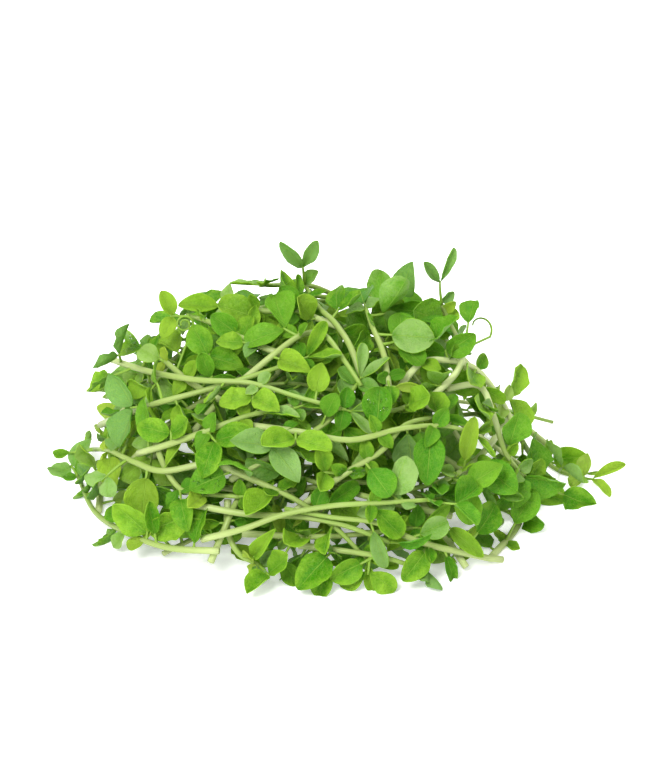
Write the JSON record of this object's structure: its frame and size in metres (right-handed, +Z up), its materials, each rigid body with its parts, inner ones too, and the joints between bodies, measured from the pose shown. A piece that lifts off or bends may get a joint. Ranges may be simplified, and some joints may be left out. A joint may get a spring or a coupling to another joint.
{
  "type": "heap of cut pea shoots",
  "caption": "Loose heap of cut pea shoots lying on a flat surface: pale curving stems tangled over one another, with paired green leaflets, folded growing tips and fine curled tendrils.",
  "frame": {"origin": "under the middle of the heap, on the surface it lies on", "axes": "+Z up from the surface, +X along the heap's long side, to the right as seen from its front, -Y towards the front"},
  "size_m": [0.2098, 0.1512, 0.0958],
  "materials": {
    "shoot": "satin",
    "leaf": "satin",
    "stem": "satin",
    "droplet": "gloss"
  },
  "bodies": {
    "root": {"shoot_01": "shoot", "shoot_02": "shoot", "shoot_03": "shoot", "shoot_04": "shoot", "shoot_05": "shoot", "shoot_06": "shoot", "shoot_07": "shoot", "shoot_08": "shoot", "shoot_09": "shoot", "shoot_10": "shoot", "shoot_11": "shoot", "shoot_12": "shoot", "shoot_13": "shoot", "shoot_14": "shoot", "shoot_15": "shoot", "shoot_16": "shoot", "shoot_17": "shoot", "shoot_18": "shoot", "shoot_19": "shoot", "shoot_20": "shoot", "shoot_21": "shoot", "shoot_22": "shoot", "shoot_23": "shoot", "shoot_24": "shoot", "shoot_25": "shoot", "shoot_26": "shoot", "shoot_27": "shoot", "shoot_28": "shoot", "shoot_29": "shoot", "shoot_30": "shoot", "shoot_31": "shoot", "shoot_32": "shoot", "shoot_33": "shoot", "shoot_34": "shoot", "shoot_35": "shoot", "shoot_36": "shoot", "shoot_37": "shoot", "shoot_38": "shoot", "shoot_39": "shoot", "shoot_40": "shoot", "shoot_41": "shoot", "shoot_42": "shoot", "shoot_43": "shoot", "shoot_44": "shoot", "shoot_45": "shoot", "shoot_46": "shoot", "shoot_47": "shoot", "shoot_48": "shoot", "shoot_49": "shoot"}
  },
  "joints": []
}
